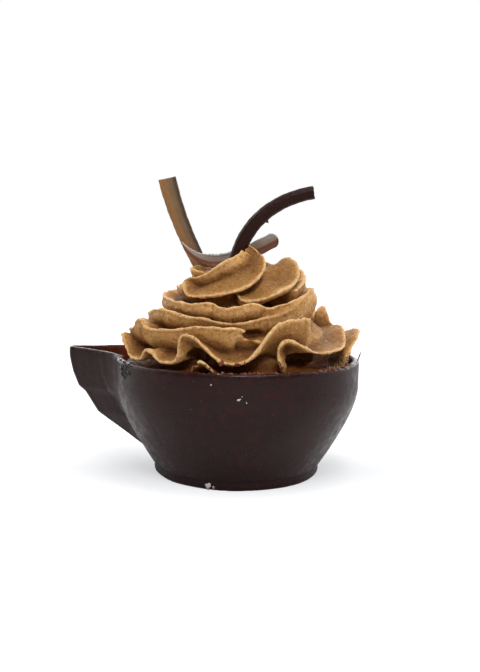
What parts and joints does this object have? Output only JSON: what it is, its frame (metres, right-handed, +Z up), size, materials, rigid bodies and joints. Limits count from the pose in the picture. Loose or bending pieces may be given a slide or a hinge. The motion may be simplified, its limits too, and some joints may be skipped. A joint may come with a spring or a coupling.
{
  "type": "chocolate mousse dessert",
  "caption": "Ruffled swirl of chocolate mousse piped into a moulded dark chocolate teacup with a hollow handle and topped with chocolate curls.",
  "frame": {"origin": "on the resting plane under the middle of the round cup", "axes": "+Z up along the cup's axis; the handle points to -X and a little to +Y; the front of the swirl faces -Y"},
  "size_m": [0.0883, 0.07, 0.0853],
  "materials": {
    "dark_chocolate": "satin",
    "mousse": "soft, fine-pored",
    "dark_curl": "satin",
    "milk_curl": "satin",
    "grey_curl": "satin"
  },
  "bodies": {
    "root": {"cup": "dark_chocolate", "mousse": "mousse", "curl_right": "dark_curl", "curl_left": "milk_curl", "curl_low": "grey_curl"}
  },
  "joints": []
}
